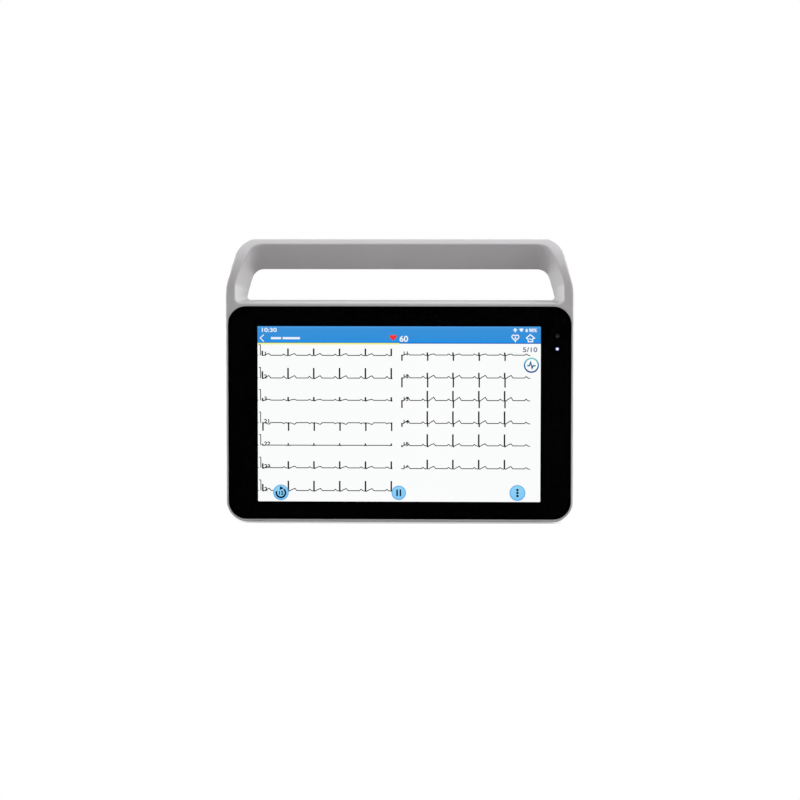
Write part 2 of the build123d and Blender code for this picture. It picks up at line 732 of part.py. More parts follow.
with BuildPart() as ecg_socket:
    extrude(connector_profile(flange_near + 1, -0.5), amount=nose_tip + 0.4 - flange_near - 1)
    block((flange_near + 0.85, -113.0), (ecg_port_depth - 5.0, ecg_board_near - 0.05),
          (ecg_port_centre - 13.0, ecg_port_centre + 13.0))
    for count, shift in ((8, -1.42), (7, 1.42)):
        for index in range(count):
            z = ecg_port_centre + (index - (count - 1) / 2) * 2.74
            side_peg(ecg_port_depth + shift, z, 0.55, nose_tip - 1, nose_tip + 5,
                     mode=Mode.SUBTRACT)
finish(ecg_socket, "ecg_socket")

with BuildPart() as jack_posts:
    for z in post_heights:
        with BuildSketch(Plane.YZ.offset(ecg_pocket_floor)) as hexagon:
            with Locations((at(ecg_port_depth), z)):
                RegularPolygon(2.4, 6, major_radius=False)
        extrude(hexagon.sketch, amount=-4.2)
        side_peg(ecg_port_depth, z, jack_stud_radius, ecg_pocket_floor, flange_near + 3.0)
        side_peg(ecg_port_depth, z, jack_hole_radius, ecg_pocket_floor - 5, ecg_pocket_floor - 0.6,
                 mode=Mode.SUBTRACT)
finish(jack_posts, "jack_posts")


# ---- side sockets behind the port door ----
with BuildPart() as io_spacers:
    spacers(io_posts, io_board_near)
finish(io_spacers, "io_spacers")

with BuildPart() as io_board:
    board(io_board_span, io_board_near, io_posts)
finish(io_board, "io_board")

with BuildPart() as usb_shells:
    for z in usb_centres:
        middle = (z - usb_size[0] / 2, z + usb_size[0] / 2)
        near = (usb_depth - usb_size[1] / 2, usb_depth + usb_size[1] / 2)
        block((115.0, socket_face), near, middle)
        block((117.0, socket_face + 1), (near[0] + 0.35, near[1] - 0.35),
              (middle[0] + 0.35, middle[1] - 0.35), mode=Mode.SUBTRACT)
finish(usb_shells, "usb_shells")

with BuildPart() as usb_tongues:
    for z in usb_centres:
        block((117.05, socket_face - 0.6), (usb_depth + 0.2, usb_depth + 2.1), (z - 5.5, z + 5.5))
finish(usb_tongues, "usb_tongues")

with BuildPart() as power_jack:
    block((117.0, socket_face), (jack_depth - jack_size / 2, io_board_near - 0.05),
          (jack_centre - jack_size / 2, jack_centre + jack_size / 2))
    side_peg(jack_depth, jack_centre, 3.2, 120.0, 135.0, mode=Mode.SUBTRACT)
finish(power_jack, "power_jack")

with BuildPart() as jack_pin:
    side_peg(jack_depth, jack_centre, 1.0, 120.05, socket_face - 1.0)
    fillet(jack_pin.edges().group_by(Axis.X)[-1], 0.4)
finish(jack_pin, "jack_pin")

with BuildPart() as port_door:
    block((port_hinge_x - port_door_thickness / 2, port_hinge_x + port_door_thickness / 2),
          (port_door_front, port_hinge_depth), port_door_span)
    fillet([e for e in port_door.edges()
            if e.position_at(0.5).Y < at(port_door_front + 0.01) and e.length > 5], 0.6)
    with Locations((port_hinge_x, at(port_hinge_depth), sum(port_door_span) / 2)):
        Cylinder(port_door_thickness / 2, port_door_span[1] - port_door_span[0])
        Cylinder(port_pin_radius + screw_clearance, 80, mode=Mode.SUBTRACT)
finish(port_door, "port_door")

with BuildPart() as door_pin:
    with Locations((port_hinge_x, at(port_hinge_depth), sum(port_door_span) / 2)):
        Cylinder(port_pin_radius, port_door_span[1] - port_door_span[0] + 6.0)
finish(door_pin, "door_pin")


# ---- power button and its switch ----
with BuildPart() as power_button:
    side_slot(button_depth, button_centre, *button_size, 129.2, button_face)
    fillet(power_button.edges().group_by(Axis.X)[-1], 0.6)
    side_slot(button_depth, button_centre, button_size[0] + 1.8, button_size[1] + 1.8, 129.2,
              130.2)
    side_peg(button_depth, button_centre, 1.5, 127.0, 129.3)
finish(power_button, "power_button")

switch_face = switch_board_x[1]
with BuildPart() as switch_board:
    block(switch_board_x, (10.2, 19.0), (98.8, 124.8))
    for z in switch_posts:
        side_peg(button_depth, z, 1.05, 120, 124, mode=Mode.SUBTRACT)
finish(switch_board, "switch_board")

with BuildPart() as power_switch:
    block((switch_face, switch_face + 3.0), (button_depth - 3, button_depth + 3),
          (button_centre - 3, button_centre + 3))
    side_peg(button_depth, button_centre, 1.75, switch_face + 2.9,
             127.0 - button_travel - 0.1)
finish(power_switch, "power_switch")

with BuildPart() as switch_screws:
    for z in switch_posts:
        side_peg(button_depth, z, 1.0, switch_board_x[0], 127.5)
        side_peg(button_depth, z, 1.9, switch_board_x[0] - 1.3, switch_board_x[0])
finish(switch_screws, "switch_screws")


# ---- status light and light sensor behind the glass ----
with BuildPart() as sensor_board:
    block((116.4, 127.4), (9.0, 10.2), (130.8, 149.4))
    for x in (led_at[0] - 3.0, led_at[0] + 4.0):
        peg(x, 139.5, 0.85, 8, 12, mode=Mode.SUBTRACT)
finish(sensor_board, "sensor_board")

with BuildPart() as sensor_screws:
    for x in (led_at[0] - 3.0, led_at[0] + 4.0):
        peg(x, 139.5, 0.8, 6.0, 10.2)
        peg(x, 139.5, 1.5, 10.2, 11.2)
finish(sensor_screws, "sensor_screws")

with BuildPart() as light_pipe:
    peg(*led_at, 1.2, mask_rear + 0.05, 8.2)
    peg(*led_at, 2.0, ledge_rear + 0.05, ledge_rear + 1.05)
finish(light_pipe, "light_pipe")

with BuildPart() as status_led:
    block((led_at[0] - 1.5, led_at[0] + 1.5), (8.3, 9.0), (led_at[1] - 1.2, led_at[1] + 1.2))
finish(status_led, "status_led")

with BuildPart() as light_sensor:
    peg(*sensor_at, 1.2, mask_rear + 0.05, 9.0)
    peg(*sensor_at, 1.9, ledge_rear + 0.05, ledge_rear + 1.05)
finish(light_sensor, "light_sensor")


# ---- speaker ----
with BuildPart() as speaker:
    peg(*speaker_at, speaker_radius, speaker_near, speaker_far)
    peg(*speaker_at, 6.5, speaker_near - 4.0, speaker_near + 0.1)
    with Locations((speaker_at[0], at(speaker_far), speaker_at[1])):
        Cone(2.5, 10.0, 3.4, rotation=(-90, 0, 0),
             align=(Align.CENTER, Align.CENTER, Align.MAX), mode=Mode.SUBTRACT)
finish(speaker, "speaker")


def lead(points, radius):
    with BuildLine() as path:
        FilletPolyline(*points, radius=1.6)
    start = path.line @ 0
    with BuildSketch(Plane(origin=start, z_dir=path.line % 0)) as wire:
        Circle(radius)
    sweep(wire.sketch, path=path.line)


with BuildPart() as speaker_leads:
    for z in (54.0, 56.4):
        lead([(speaker_at[0], at(speaker_near - 4.05), z), (speaker_at[0], at(20.0), z),
              (-34.0, at(20.0), z), (-34.0, at(main_face + 1.2), z)], 0.55)
finish(speaker_leads, "speaker_leads")


# ---- battery, its contacts and cover ----
with BuildPart() as battery_pack:
    block((-battery_half_width, battery_half_width), battery_depth, battery_span)
    fillet(battery_pack.edges().filter_by(Axis.Z), 2.5)
    fillet(battery_pack.edges().filter_by(Axis.X), 1.0)
finish(battery_pack, "battery_pack")

with BuildPart() as battery_contacts:
    block((-14.0, 14.0), (23.0, 24.95), (58.0, 70.0))
    block((-12.0, 12.0), (24.9, 27.0), (60.0, 68.0))
    for index in range(5):
        peg(-8.0 + 4.0 * index, 64.0, 0.9, 26.9, 27.45)
finish(battery_contacts, "battery_contacts")

with BuildPart() as battery_leads:
    for z in (64.8, 67.2):
        lead([(6.0, at(22.95), z), (6.0, at(20.0), z), (31.0, at(20.0), z),
              (31.0, at(main_face + 1.2), z)], 0.6)
finish(battery_leads, "battery_leads")

with BuildPart() as battery_cover:
    plate((2 * cover_half_width, cover_span[1] - cover_span[0]), 4.0, (0, sum(cover_span) / 2),
          cover_near, body_depth)
    for x in (-30.0, 30.0):
        block((x - 3.6, x + 3.6), (48.8, cover_near + 0.1), (104.0, 106.5))
        block((x - 3.6, x + 3.6), (48.8, 50.0), (106.0, 109.8))
    block((-40.0, 40.0), (battery_depth[1] + 0.05, cover_near + 0.1), (60.0, 64.0))
    block((-40.0, 40.0), (battery_depth[1] + 0.05, cover_near + 0.1), (80.0, 84.0))
    for index in range(5):
        block((-16.0, 16.0), (body_depth - 0.5, body_depth + 1),
              (96.0 + 2.0 * index, 96.9 + 2.0 * index), mode=Mode.SUBTRACT)
    block((-22.2, 22.2), (body_depth - 0.35, body_depth + 1), (46.8, 65.2), mode=Mode.SUBTRACT)
    for x, z in cover_screws_at:
        peg(x, z, small_screw_radius + screw_clearance, 45, 60, mode=Mode.SUBTRACT)
        peg(x, z, 2.4, body_depth - 1.2, 60, mode=Mode.SUBTRACT)
finish(battery_cover, "battery_cover")

with BuildPart() as cover_screws:
    for x, z in cover_screws_at:
        screw(x, z, body_depth - 1.2, 7.5, small_screw_radius, 2.1, 1.1)
finish(cover_screws, "cover_screws")

with BuildPart() as rating_plate:
    block((-22.0, 22.0), (body_depth - 0.35, body_depth - 0.05), (47.0, 65.0))
finish(rating_plate, "rating_plate")


# ---- folding stand ----
with BuildPart() as stand:
    with BuildSketch(facing(stand_near)) as frame:
        with Locations((0, (stand_foot + stand_axis_height) / 2)):
            Rectangle(2 * stand_half_width, stand_axis_height - stand_foot)
        fillet(frame.vertices().group_by(Axis.Y)[0], stand_corner_radius)
        with Locations((0, stand_bar_top + 60)):
            RectangleRounded(2 * (stand_half_width - stand_leg), 120, 3.0, mode=Mode.SUBTRACT)
    extrude(frame.sketch, amount=stand_near - body_depth)
    fillet([e for e in stand.edges() if e.position_at(0.5).Y > at(body_depth - 0.01)
            and e.position_at(0.5).Z < stand_axis_height - 1], 0.8)
    for side in (-1, 1):
        side_peg(stand_axis_depth, stand_axis_height, 3.5, side * stand_half_width,
                 side * (stand_half_width - stand_leg))
        side_peg(stand_axis_depth, stand_axis_height, stand_pin_radius + screw_clearance,
                 side * 80, side * 58, mode=Mode.SUBTRACT)
        block(sorted((side * 45.0 - pad_size[0] / 2 - 0.1, side * 45.0 + pad_size[0] / 2 + 0.1)),
              (stand_near + 1.4, stand_near + 5.6), (stand_foot - 1, stand_foot + 0.6),
              mode=Mode.SUBTRACT)
finish(stand, "stand")

with BuildPart() as stand_pads:
    for side in (-1, 1):
        block((side * 45.0 - pad_size[0] / 2, side * 45.0 + pad_size[0] / 2),
              (stand_near + 1.5, stand_near + 1.5 + pad_size[1]),
              (stand_foot - pad_proud, stand_foot + 0.6))
finish(stand_pads, "stand_pads")

with BuildPart() as stand_pins:
    for side in (-1, 1):
        side_peg(stand_axis_depth, stand_axis_height, stand_pin_radius, side * 63.0,
                 side * 81.8)
finish(stand_pins, "stand_pins")

with BuildPart() as rubber_feet:
    for x in (-feet_x, feet_x):
        for depth in (front_feet_depth, rear_feet_depth):
            with BuildSketch(Plane.XY) as foot:
                with Locations((x, at(depth))):
                    SlotOverall(*foot_size)
            extrude(foot.sketch, amount=foot_proud + foot_set)
    fillet(rubber_feet.edges().group_by(Axis.Z)[0], 0.4)
finish(rubber_feet, "rubber_feet")
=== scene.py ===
import json
import math

import bmesh
import bpy
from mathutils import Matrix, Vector


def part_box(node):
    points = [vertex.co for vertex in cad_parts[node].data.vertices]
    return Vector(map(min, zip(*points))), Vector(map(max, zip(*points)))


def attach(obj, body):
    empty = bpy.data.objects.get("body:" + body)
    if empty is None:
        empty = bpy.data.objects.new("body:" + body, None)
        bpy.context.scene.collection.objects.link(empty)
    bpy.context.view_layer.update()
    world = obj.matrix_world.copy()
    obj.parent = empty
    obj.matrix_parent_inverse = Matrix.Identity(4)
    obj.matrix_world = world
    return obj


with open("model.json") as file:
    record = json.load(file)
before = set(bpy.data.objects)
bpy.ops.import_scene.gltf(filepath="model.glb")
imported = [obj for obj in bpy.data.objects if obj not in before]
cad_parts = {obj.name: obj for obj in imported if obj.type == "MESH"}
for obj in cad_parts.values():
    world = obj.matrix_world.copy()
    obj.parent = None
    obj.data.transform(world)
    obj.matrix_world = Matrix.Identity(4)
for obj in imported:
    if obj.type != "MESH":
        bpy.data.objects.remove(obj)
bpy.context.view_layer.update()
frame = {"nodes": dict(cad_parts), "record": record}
nodes = frame["nodes"]
collection = bpy.context.scene.collection

FORWARD = Vector((0, -1, 0))
RIGHTWARD = Vector((1, 0, 0))


# ---- material helpers ----
def new_material(name):
    material = bpy.data.materials.new(name)
    material.use_nodes = True
    tree = material.node_tree
    tree.nodes.clear()
    output = tree.nodes.new("ShaderNodeOutputMaterial")
    return material, tree, output


def node(tree, kind, **inputs):
    """Add a node; each input is a socket to link or a value to set."""
    made = tree.nodes.new(kind)
    for key, value in inputs.items():
        if isinstance(value, bpy.types.NodeSocket):
            tree.links.new(value, made.inputs[key])
        else:
            made.inputs[key].default_value = value
    return made


def math_node(tree, operation, first, second, clamp=False):
    """Math node over two sockets or values."""
    made = tree.nodes.new("ShaderNodeMath")
    made.operation = operation
    made.use_clamp = clamp
    for socket, value in zip(made.inputs, (first, second)):
        if isinstance(value, bpy.types.NodeSocket):
            tree.links.new(value, socket)
        else:
            socket.default_value = value
    return made


def place(tree, scale=(1, 1, 1)):
    where = tree.nodes.new("ShaderNodeTexCoord")
    mapping = tree.nodes.new("ShaderNodeMapping")
    mapping.inputs["Scale"].default_value = scale
    tree.links.new(where.outputs["Object"], mapping.inputs["Vector"])
    return mapping.outputs["Vector"]


def noise(tree, scale, detail=2.0, stretch=(1, 1, 1)):
    made = node(tree, "ShaderNodeTexNoise", Vector=place(tree, stretch), Scale=scale, Detail=detail)
    return made.outputs["Fac"]


def ramp(tree, factor, stops):
    """Colour running through stops of (position, colour)."""
    made = tree.nodes.new("ShaderNodeValToRGB")
    elements = made.color_ramp.elements
    while len(elements) < len(stops):
        elements.new(0.5)
    for element, (where, colour) in zip(elements, stops):
        element.position = where
        element.color = (*colour, 1)
    tree.links.new(factor, made.inputs["Fac"])
    return made.outputs["Color"]


def spread(tree, factor, low, high):
    """Stretch a 0 to 1 factor over low to high."""
    made = node(tree, "ShaderNodeMapRange", Value=factor)
    made.inputs["To Min"].default_value = low
    made.inputs["To Max"].default_value = high
    return made.outputs["Result"]


def shade(colour, amount):
    return tuple(min(1, c * amount) for c in colour)


def blend(tree, factor, first, second):
    mix = tree.nodes.new("ShaderNodeMixShader")
    tree.links.new(factor, mix.inputs["Fac"])
    tree.links.new(first.outputs[0], mix.inputs[1])
    tree.links.new(second.outputs[0], mix.inputs[2])
    return mix


MOTTLE_SCALE = 38.0


def moulded(name, colour, rough=0.45, grain=2600.0, depth=0.00004, specular=0.5, spots=0.03):
    """Moulded or painted surface: slow mottling in the colour, fine grain in the bump."""
    material, tree, output = new_material(name)
    slow = noise(tree, MOTTLE_SCALE, 3.0)
    tint = ramp(tree, slow, [(0.25, shade(colour, 1 - spots)), (0.75, shade(colour, 1 + spots))])
    fine = noise(tree, grain, 3.0)
    bump = node(tree, "ShaderNodeBump", Height=fine, Strength=0.35, Distance=depth)
    body = node(tree, "ShaderNodeBsdfPrincipled", **{
        "Base Color": tint, "Roughness": spread(tree, fine, rough - 0.05, rough + 0.07),
        "Normal": bump.outputs["Normal"], "Specular IOR Level": specular})
    tree.links.new(body.outputs[0], output.inputs["Surface"])
    return material


def metal(name, colour, rough=0.3, stretch=(1, 1, 1), grain=900.0):
    """Metal with a drawn or rolled grain along one axis."""
    material, tree, output = new_material(name)
    lines = noise(tree, grain, 4.0, stretch)
    tint = ramp(tree, lines, [(0.3, shade(colour, 0.9)), (0.7, shade(colour, 1.06))])
    bump = node(tree, "ShaderNodeBump", Height=lines, Strength=0.2, Distance=0.00003)
    body = node(tree, "ShaderNodeBsdfPrincipled", **{
        "Base Color": tint, "Roughness": spread(tree, lines, rough - 0.08, rough + 0.1),
        "Normal": bump.outputs["Normal"], "Metallic": 1.0})
    tree.links.new(body.outputs[0], output.inputs["Surface"])
    return material


# where the seam groove's painted shade goes, front to back, and the handle's space that it skips,
# across and up: (middle, reach)
SEAM_DEPTH = (-0.00175, 0.0003)
HANDLE_ACROSS = (0.0, 0.1225)
HANDLE_UP = (0.18725, 0.02225)
# colour of the painted shade in the seam groove, darker than the shell
PAINTED_SEAM_SHADE = (0.07, 0.069, 0.068)


def paint_seam_shade(material):
    """Painted shade: darken the colour in the groove where the housing's halves meet, all round but
    not in the handle.
    """
    tree = material.node_tree
    body = next(n for n in tree.nodes if n.type == "BSDF_PRINCIPLED")
    plain = body.inputs["Base Color"].links[0].from_socket
    where = tree.nodes.new("ShaderNodeTexCoord")
    parts = node(tree, "ShaderNodeSeparateXYZ", Vector=where.outputs["Object"])
    inside = []
    for axis, (middle, reach) in (("Y", SEAM_DEPTH), ("X", HANDLE_ACROSS), ("Z", HANDLE_UP)):
        near = math_node(tree, "COMPARE", parts.outputs[axis], middle)
        near.inputs[2].default_value = reach
        inside.append(near.outputs[0])
    groove, across, up = inside
    handle = math_node(tree, "MULTIPLY", across, up)
    # mask of the painted shade: the groove's band, less the handle's space
    seam = math_node(tree, "SUBTRACT", groove, handle.outputs[0], clamp=True)
    mix = tree.nodes.new("ShaderNodeMix")
    mix.data_type = "RGBA"
    tree.links.new(seam.outputs[0], mix.inputs["Factor"])
    tree.links.new(plain, mix.inputs["A"])
    mix.inputs["B"].default_value = (*PAINTED_SEAM_SHADE, 1)
    tree.links.new(mix.outputs["Result"], body.inputs["Base Color"])
    return material


def clear_glass():
    """Thin coated glass: see-through, with a weak sharp reflection that grows at a low angle."""
    material, tree, output = new_material("clear_glass")
    clear = node(tree, "ShaderNodeBsdfTransparent", Color=(0.985, 0.99, 0.99, 1))
    smear = noise(tree, 14.0, 4.0)
    gloss = node(tree, "ShaderNodeBsdfGlossy", Roughness=spread(tree, smear, 0.02, 0.06))
    gloss.inputs["Color"].default_value = (0.9, 0.93, 1.0, 1)
    fresnel = node(tree, "ShaderNodeFresnel", IOR=1.045)
    side = tree.nodes.new("ShaderNodeNewGeometry")
    entering = math_node(tree, "SUBTRACT", fresnel.outputs[0], side.outputs["Backfacing"],
                         clamp=True)
    tree.links.new(blend(tree, entering.outputs[0], clear, gloss).outputs[0],
                   output.inputs["Surface"])
    return material


def lit(name, stops, axis="Z", span=(0.0, 0.2), strength=1.0, radial=None):
    """Glowing screen ink, its colour running along one axis or out from a centre."""
    material, tree, output = new_material(name)
    where = tree.nodes.new("ShaderNodeTexCoord")
    if radial:
        centre, radius = radial
        offset = node(tree, "ShaderNodeVectorMath", Vector=where.outputs["Object"])
        offset.operation = "DISTANCE"
        offset.inputs[1].default_value = centre
        amount = node(tree, "ShaderNodeMapRange", Value=offset.outputs["Value"])
        amount.inputs["From Max"].default_value = radius
    else:
        parts = node(tree, "ShaderNodeSeparateXYZ", Vector=where.outputs["Object"])
        amount = node(tree, "ShaderNodeMapRange", Value=parts.outputs[axis])
        amount.inputs["From Min"].default_value = span[0]
        amount.inputs["From Max"].default_value = span[1]
    glow = node(tree, "ShaderNodeEmission", Color=ramp(tree, amount.outputs["Result"], stops),
                Strength=strength)
    tree.links.new(glow.outputs[0], output.inputs["Surface"])
    return material


# moulded: name, colour, roughness, grain scale, grain depth, specular, spots
# metal: name, colour, roughness, grain stretch, grain scale
finishes = {
    # the shell's colour carries painted shade along the seam groove
    "shell": paint_seam_shade(moulded("shell", (0.47, 0.463, 0.455), 0.42, 2400, 0.00005, 0.45, 0.02)),
    "clear_glass": clear_glass(),
    "black_print": moulded("black_print", (0.0011, 0.0011, 0.0012), 0.6, 3000, 0.00001, 0.0),
    "adhesive": moulded("adhesive", (0.012, 0.012, 0.012), 0.85, 1800, 0.0001, 0.2),
    "screen": moulded("screen", (0.03, 0.03, 0.035), 0.35, 3000, 0.00001, 0.3),
    "white_diffuser": moulded("white_diffuser", (0.82, 0.83, 0.85), 0.3, 2000, 0.00002),
    "sheet_metal": metal("sheet_metal", (0.56, 0.56, 0.55), 0.36, (6, 6, 1)),
    "module_tray": metal("module_tray", (0.62, 0.63, 0.64), 0.4, (1, 6, 6)),
    "screw_steel": metal("screw_steel", (0.32, 0.32, 0.33), 0.34, (1, 1, 1), 2200),
    "spacer_brass": metal("spacer_brass", (0.72, 0.54, 0.24), 0.28, (8, 1, 8)),
    "circuit_board": moulded("circuit_board", (0.012, 0.12, 0.055), 0.38, 900, 0.00004, 0.5, 0.12),
    "chip_black": moulded("chip_black", (0.02, 0.02, 0.021), 0.6, 2600, 0.00005),
    "heat_sink_alloy": metal("heat_sink_alloy", (0.66, 0.66, 0.67), 0.38, (1, 1, 10)),
    "tinned_shield": metal("tinned_shield", (0.70, 0.70, 0.68), 0.3, (4, 4, 1)),
    "socket_ivory": moulded("socket_ivory", (0.70, 0.66, 0.56), 0.42, 2000, 0.00003),
    "cell_steel": metal("cell_steel", (0.70, 0.70, 0.70), 0.22, (1, 1, 6)),
    "capacitor_can": metal("capacitor_can", (0.60, 0.61, 0.63), 0.3, (1, 6, 1)),
    "flex_film": moulded("flex_film", (0.32, 0.13, 0.02), 0.3, 1200, 0.00001),
    "connector_black": moulded("connector_black", (0.016, 0.016, 0.018), 0.5, 2600, 0.00004),
    "connector_shell": metal("connector_shell", (0.62, 0.62, 0.61), 0.26, (1, 4, 4)),
    "post_steel": metal("post_steel", (0.64, 0.64, 0.65), 0.24, (8, 1, 1)),
    "door_plastic": moulded("door_plastic", (0.42, 0.415, 0.41), 0.5, 2400, 0.00006, 0.4, 0.02),
    "button_plastic": moulded("button_plastic", (0.16, 0.165, 0.175), 0.4, 2800, 0.00003),
    "light_pipe": moulded("light_pipe", (0.75, 0.77, 0.88), 0.15, 2000, 0.00001),
    "sensor_dark": moulded("sensor_dark", (0.014, 0.0138, 0.0145), 0.2, 2000, 0.00001, 0.35),
    "speaker_black": moulded("speaker_black", (0.02, 0.02, 0.021), 0.75, 1500, 0.0001, 0.2),
    "wire_black": moulded("wire_black", (0.02, 0.02, 0.02), 0.5, 2600, 0.00003),
    "battery_wrap": moulded("battery_wrap", (0.04, 0.045, 0.06), 0.42, 1200, 0.00003),
    "contact_gold": metal("contact_gold", (0.80, 0.58, 0.20), 0.22),
    "plate_satin": metal("plate_satin", (0.66, 0.66, 0.67), 0.34, (1, 1, 14), 700),
    "stand_grey": moulded("stand_grey", (0.135, 0.138, 0.142), 0.5, 2300, 0.00007, 0.4, 0.03),
    "foot_rubber": moulded("foot_rubber", (0.022, 0.022, 0.023), 0.78, 1600, 0.0001, 0.25, 0.05),
}

slots = {part["node"]: part["material_slot"] for part in frame["record"]["subparts"]}
for name, part in nodes.items():
    part.data.materials.clear()
    part.data.materials.append(finishes[slots[name]])


# ---- drawing helpers; the screen picture is laid out on a grid of its own ----
GRID = (283.5, 175.5)
SCREEN_WIDTH, SCREEN_HEIGHT = 0.2168, 0.1348
SCREEN_LEFT, SCREEN_TOP = -0.0004 - SCREEN_WIDTH / 2, 0.0841 + SCREEN_HEIGHT / 2
PANEL_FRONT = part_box("lcd_panel")[0].y
FIRST_LAYER, LAYER_STEP = 0.00004, 0.00005
COLUMN = SCREEN_WIDTH / GRID[0]
ROW = SCREEN_HEIGHT / GRID[1]
PAPER_LAYER, BAR_LAYER, TRACE_LAYER, SIGN_LAYER, RIM_LAYER, MARK_LAYER = 0, 2, 3, 4, 5, 6


def spot(across, down, layer):
    """Grid place to a point in metres; a higher layer lies nearer the glass."""
    return Vector((SCREEN_LEFT + across * COLUMN,
                   PANEL_FRONT - FIRST_LAYER - layer * LAYER_STEP,
                   SCREEN_TOP - down * SCREEN_HEIGHT / GRID[1]))


def piece(name, build, material):
    mesh = bpy.data.meshes.new(name)
    bm = bmesh.new()
    build(bm)
    bm.to_mesh(mesh)
    bm.free()
    made = bpy.data.objects.new(name, mesh)
    collection.objects.link(made)
    mesh.materials.append(material)
    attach(made, "unit")
    return made


def add_face(bm, corners, outward):
    """Add a face over the given vertices, turned to look outward."""
    made = bm.faces.new(corners)
    made.normal_update()
    if made.normal.dot(outward) < 0:
        made.normal_flip()


def face(bm, points, layer):
    add_face(bm, [bm.verts.new(spot(x, y, layer)) for x, y in points], FORWARD)


SHARPEST_MITRE = 0.35
HAIRPIN = 0.2


def ribbon(bm, line, width, layer):
    """A stroke of even width along a polyline, mitred at its corners."""
    sides = []
    for index, here in enumerate(line):
        before = Vector(line[max(0, index - 1)])
        after = Vector(line[min(len(line) - 1, index + 1)])
        here = Vector(here)
        into = (here - before).normalized() if index else (after - here).normalized()
        out = (after - here).normalized() if index < len(line) - 1 else into
        normal = Vector((-(into.y + out.y), into.x + out.x))
        if normal.length < HAIRPIN:
            normal = Vector((-into.y, into.x))
        normal.normalize()
        reach = width / 2 / max(SHARPEST_MITRE, abs(normal.dot(Vector((-into.y, into.x)))))
        sides.append((here + normal * reach, here - normal * reach))
    for (a, b), (c, d) in zip(sides, sides[1:]):
        face(bm, (a, c, d, b), layer)


def arc(centre, radius, start, end, steps=24):
    """Points along an arc between two angles in degrees."""
    angles = [math.radians(start + (end - start) * i / steps) for i in range(steps + 1)]
    return [(centre[0] + radius * math.cos(a), centre[1] + radius * math.sin(a)) for a in angles]


def disc(bm, centre, radius, layer, steps=40):
    face(bm, arc(centre, radius, 0, 360, steps)[:-1], layer)


def ring(bm, centre, radius, width, layer):
    ribbon(bm, arc(centre, radius, 0, 359.9, 48), width, layer)


def box(bm, left, top, right, bottom, layer):
    face(bm, ((left, top), (right, top), (right, bottom), (left, bottom)), layer)


def heart(centre, size, steps=40):
    points = []
    for index in range(steps):
        turn = 2 * math.pi * index / steps
        across = 16 * math.sin(turn) ** 3
        up = (13 * math.cos(turn) - 5 * math.cos(2 * turn) - 2 * math.cos(3 * turn)
              - math.cos(4 * turn))
        points.append((centre[0] + across * size / 17, centre[1] - (up + 2.5) * size / 17))
    return points


def numerals(bm, words, left, foot, size, layer, stretch=1.0, bold=0.0):
    """Plain numerals from the built-in face, turned to mesh."""
    curve = bpy.data.curves.new("numerals", "FONT")
    curve.body = words
    curve.size = size
    curve.offset = bold
    holder = bpy.data.objects.new("numerals", curve)
    collection.objects.link(holder)
    bpy.context.view_layer.update()
    shape = holder.evaluated_get(bpy.context.evaluated_depsgraph_get()).to_mesh()
    corners = [bm.verts.new(spot(left + v.co.x * stretch, foot - v.co.y, layer))
               for v in shape.vertices]
    for polygon in shape.polygons:
        try:
            add_face(bm, [corners[i] for i in polygon.vertices], FORWARD)
        except ValueError:
            continue
    bpy.data.objects.remove(holder)
    bpy.data.curves.remove(curve)


# ---- heart traces, in grid units ----
# baseline, spike up, spike down, after-wave, before-wave
LEFT_LEADS = ((29.0, 6.8, 0.5, 1.8, 1.2), (51.7, 10.1, 1.0, 2.4, 1.8), (73.9, 3.2, 1.2, 1.0, 0.8),
              (96.4, -1.0, 8.2, -1.7, -1.1), (119.0, 1.9, 0.5, 0.0, 0.0),
              (141.7, 6.6, 1.2, 1.6, 1.1), (164.6, 9.8, 1.0, 2.2, 1.5))
RIGHT_LEADS = ((28.5, 2.6, 5.8, 1.2, 1.2), (51.3, 5.2, 9.6, 2.6, 1.6), (73.9, 9.6, 7.6, 3.3, 1.6),
               (96.8, 12.1, 3.6, 2.9, 1.5), (119.2, 11.5, 1.6, 2.1, 1.4),
               (142.2, 9.0, 0.8, 2.4, 1.3))
LEFT_BEATS = (4.75, 30.5, 56.3, 82.2, 108.1, 134.0)
RIGHT_BEATS = (144.3, 170.1, 195.8, 221.7, 247.5, 273.4)
LEFT_SPAN, RIGHT_SPAN = (4.3, 135.1), (143.9, 273.3)
LEFT_LABELS = ("1", "2", "3", "21", "22", "23", "2")
FIRST_RIGHT_LABEL = 11
LABEL = dict(size=5.4, layer=SIGN_LAYER, stretch=1.15, bold=0.16)
TRACE_WIDTH, SPIKE_WIDTH = 0.85, 1.55
TRACE_STEP = 0.35
FIRST_LEFT_SPIKE, FIRST_RIGHT_SPIKE = 0.66, 0.0
LEAST_UP, LEAST_DOWN = 0.6, 0.9
DOWN_SHIFT = 0.4


def ramp_wave(offset, start, peak, end, height):
    """Slow rise to a peak, then a quick fall."""
    if start < offset <= peak:
        return height * (offset - start) / (peak - start)
    if peak < offset < end:
        return height * (end - offset) / (end - peak)
    return 0.0


def beat(offset, after, before):
    """Height above the baseline near one beat, offset measured from its spike."""
    height = ramp_wave(offset, -5.8, -4.5, -2.6, before) + ramp_wave(offset, -2.6, -1.0, 0.2, -0.4)
    return height + ramp_wave(offset, 0.2, 1.3, 2.4, -0.5) + ramp_wave(offset, 1.8, 6.5, 8.4, after)


